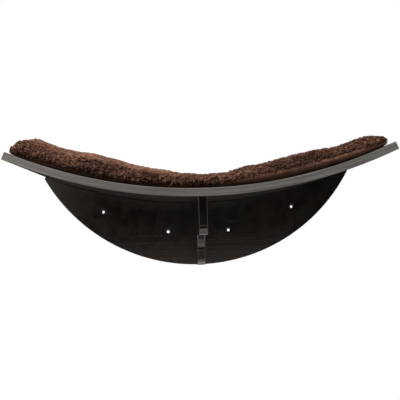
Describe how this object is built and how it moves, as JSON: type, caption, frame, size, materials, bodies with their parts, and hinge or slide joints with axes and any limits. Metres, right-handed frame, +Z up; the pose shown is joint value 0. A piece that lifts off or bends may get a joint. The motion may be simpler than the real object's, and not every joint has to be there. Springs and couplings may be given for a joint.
{
  "type": "wall-mounted cat bed",
  "caption": "Bowed wooden shelf on a half-moon back panel and one ogee bracket, holding a long plush cushion that lifts off; the panel screws flat to a wall.",
  "frame": {"origin": "on the wall plane, midway between the two outer wall-screw holes", "axes": "+Y into the wall, +Z up, +X to the right as seen from the room"},
  "size_m": [0.5592, 0.28, 0.2048],
  "materials": {
    "board": "satin espresso paint",
    "screw": "zinc plated",
    "hook_tape": "woven nylon hooks",
    "loop_tape": "brushed nylon loops",
    "plush": "curly plush",
    "base_cloth": "smooth brushed cloth",
    "filling": "fibre filling"
  },
  "bodies": {
    "frame": {"shelf_board": "board", "back_panel": "board", "centre_bracket": "board", "panel_screws": "screw", "bracket_top_screws": "screw", "bracket_rear_screws": "screw", "hook_pads": "hook_tape"},
    "cushion": {"loop_pads": "loop_tape", "cushion_base_cover": "base_cloth", "cushion_top_cover": "plush", "cushion_filling": "filling"}
  },
  "joints": [
    {"name": "cushion_lift", "type": "slide", "parent": "frame", "child": "cushion", "axis": [0, 0, 1], "range_m": [0, 0.15]}
  ]
}
